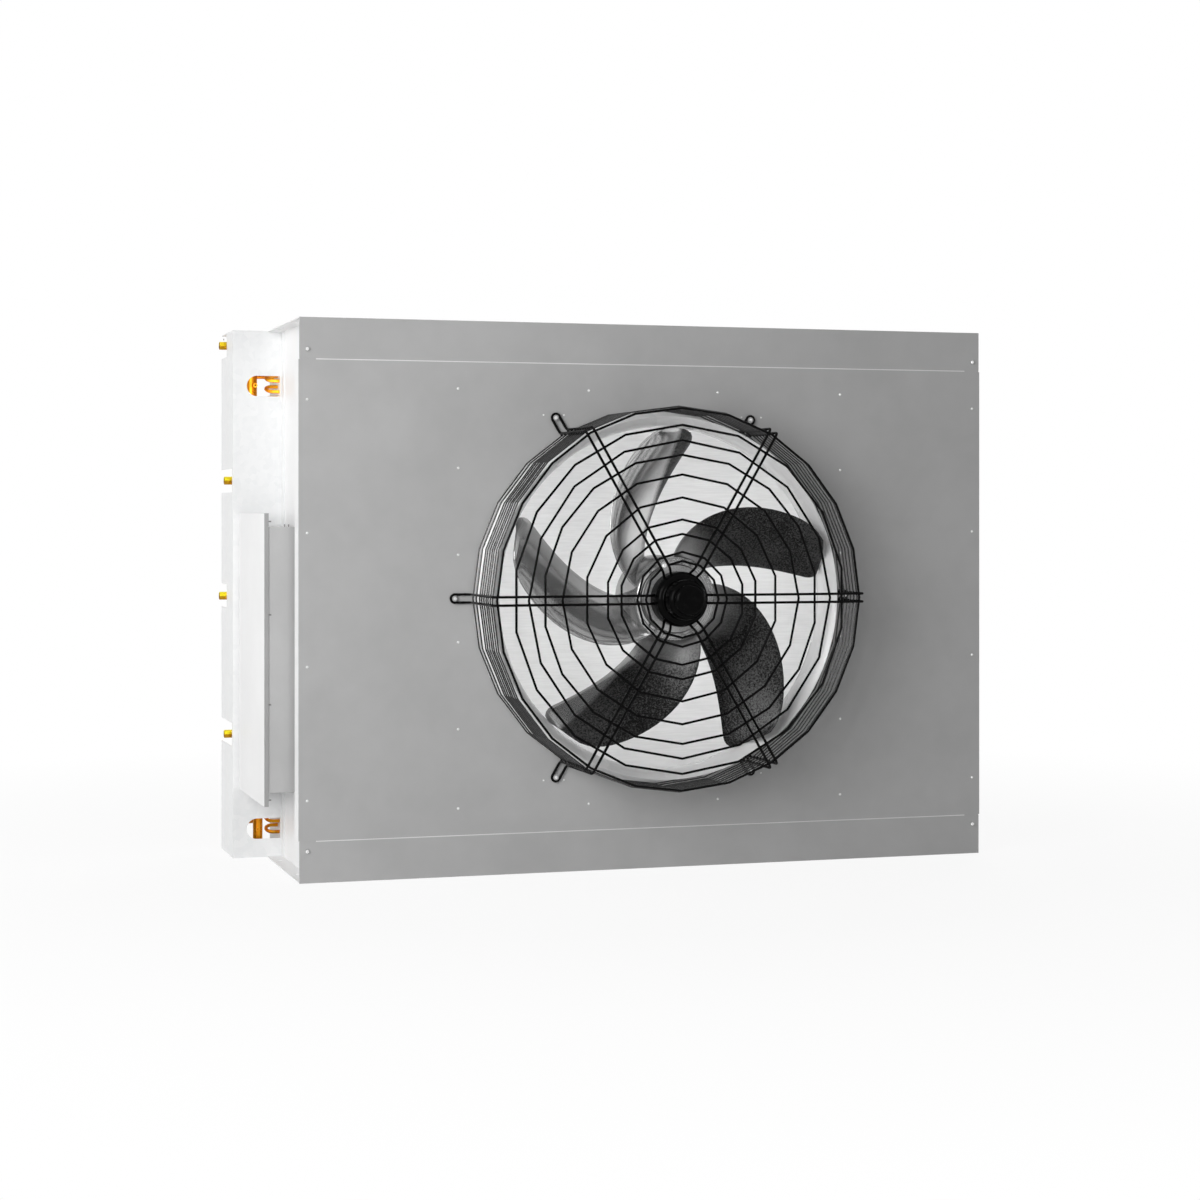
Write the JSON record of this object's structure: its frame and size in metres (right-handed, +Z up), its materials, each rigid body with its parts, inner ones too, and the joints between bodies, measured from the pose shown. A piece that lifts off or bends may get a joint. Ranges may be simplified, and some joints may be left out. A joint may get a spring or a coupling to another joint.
{
  "type": "precision air conditioner",
  "caption": "Boxy fan and coil unit with an axial fan behind a wire guard, a finned coil at the back, pipe stubs and a connection box at the left side.",
  "frame": {"origin": "middle of the fan section's base face, on the surface it stands on", "axes": "+X to the right along the front, +Y from the front with the fan to the back with the coil, +Z up"},
  "size_m": [1.437, 0.727, 1.03],
  "materials": {
    "casing_paint": "light grey satin paint on sheet metal",
    "nozzle_white": "white gloss paint",
    "guard_black": "black gloss plastic-coated wire",
    "motor_black": "black gloss enamel",
    "iron_core": "laminated core",
    "rotor_grey": "cast aluminium",
    "blade_alloy": "speckled dark grey cast alloy",
    "galvanised": "galvanised sheet",
    "fin_aluminium": "bare fins",
    "zinc_steel": "zinc plated",
    "copper": "bare copper tube",
    "brass_stub": "bare brass",
    "terminal_grey": "moulded terminals",
    "gland_black": "moulded gland"
  },
  "bodies": {
    "casing": {"bottom_panel": "casing_paint", "cable_gland": "gland_black", "coil_bottom_plate": "galvanised", "coil_frame_left": "galvanised", "coil_frame_right": "galvanised", "coil_top_plate": "galvanised", "fan_nozzle": "nozzle_white", "fan_panel": "casing_paint", "feeder_tubes": "copper", "fin_pack": "fin_aluminium", "gas_header_lower": "copper", "gas_header_upper": "copper", "gas_stubs": "brass_stub", "guard_arms": "guard_black", "guard_centre_rings": "guard_black", "guard_face_rings": "guard_black", "guard_rim_ring": "guard_black", "guard_screws": "zinc_steel", "guard_side_rings": "guard_black", "liquid_header_lower": "copper", "liquid_header_upper": "copper", "liquid_stubs": "brass_stub", "motor_bearings": "zinc_steel", "motor_cap": "motor_black", "motor_housing": "motor_black", "motor_stator": "iron_core", "nozzle_plate": "nozzle_white", "panel_screws": "zinc_steel", "return_bends_left": "copper", "return_bends_right": "copper", "service_box_body": "casing_paint", "service_box_cover": "casing_paint", "side_panel_left": "casing_paint", "side_panel_right": "casing_paint", "terminal_rail": "zinc_steel", "terminal_strip": "terminal_grey", "top_panel": "casing_paint", "tube_sheet_left": "galvanised", "tube_sheet_right": "galvanised"},
    "fan": {"rotor_shell": "rotor_grey", "fan_impeller": "blade_alloy", "motor_shaft": "zinc_steel"}
  },
  "joints": [
    {"name": "fan_spin", "type": "hinge", "parent": "casing", "child": "fan", "pos_m": [0, -0.24, 0.515], "axis": [0, -1, 0], "continuous": true}
  ]
}
